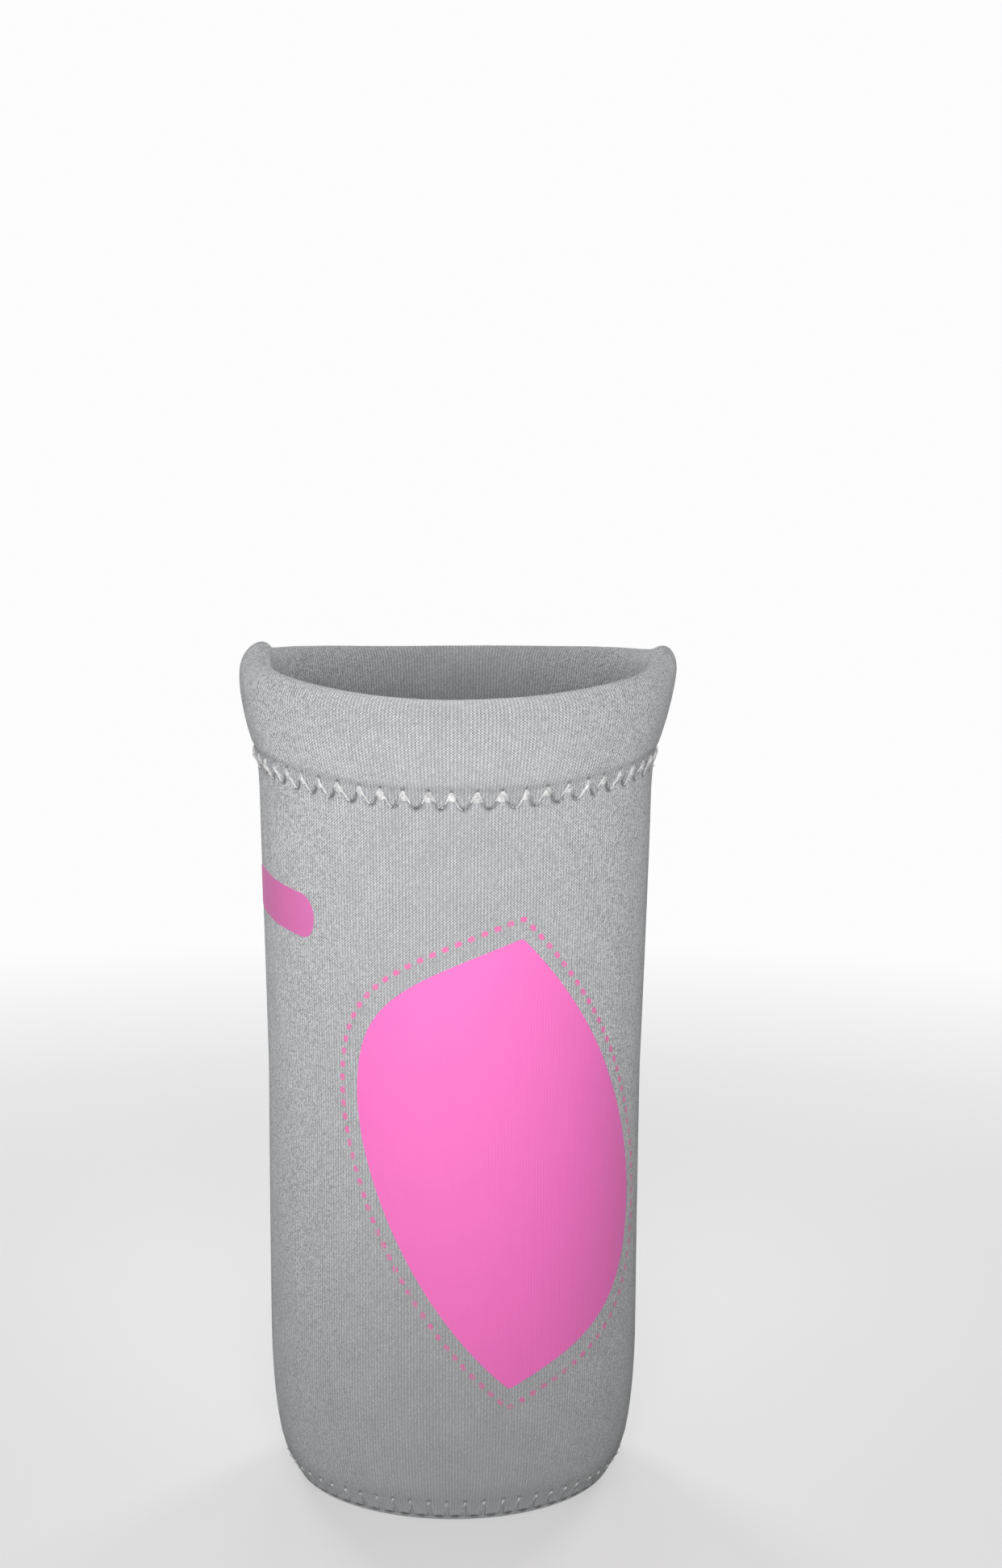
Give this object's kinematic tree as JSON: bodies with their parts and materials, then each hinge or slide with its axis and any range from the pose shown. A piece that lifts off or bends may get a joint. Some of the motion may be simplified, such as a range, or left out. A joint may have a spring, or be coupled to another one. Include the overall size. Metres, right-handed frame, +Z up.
{
  "type": "bottle cooler sleeve",
  "caption": "Pull-on insulating sleeve for a wine bottle: knit-faced foam rubber tube with round base, folded hem, zigzag seams and a printed leaf shape.",
  "frame": {"origin": "under the middle of the base, on the surface that the sleeve stands on", "axes": "+Z up along the sleeve towards its mouth, -Y out of the printed front, +X to the right of someone who faces the front"},
  "size_m": [0.09, 0.09, 0.1765],
  "materials": {
    "grey_knit": "fine ribbed jersey, matt with a faint sparkle",
    "foam_core": "closed-cell foam, matt",
    "lining_knit": "plain knit, matt",
    "seam_thread": "textured polyester thread, slight sheen",
    "pink_film": "transfer film, satin",
    "magenta_film": "transfer film, satin"
  },
  "bodies": {
    "root": {"front_knit": "grey_knit", "back_knit": "grey_knit", "base_knit": "grey_knit", "front_foam": "foam_core", "back_foam": "foam_core", "base_foam": "foam_core", "front_lining": "lining_knit", "back_lining": "lining_knit", "base_lining": "lining_knit", "hem_thread_outside": "seam_thread", "hem_thread_inside": "seam_thread", "base_seam_thread": "seam_thread", "right_seam_thread": "seam_thread", "left_seam_thread": "seam_thread", "leaf_print": "pink_film", "pill_print": "magenta_film"}
  },
  "joints": []
}
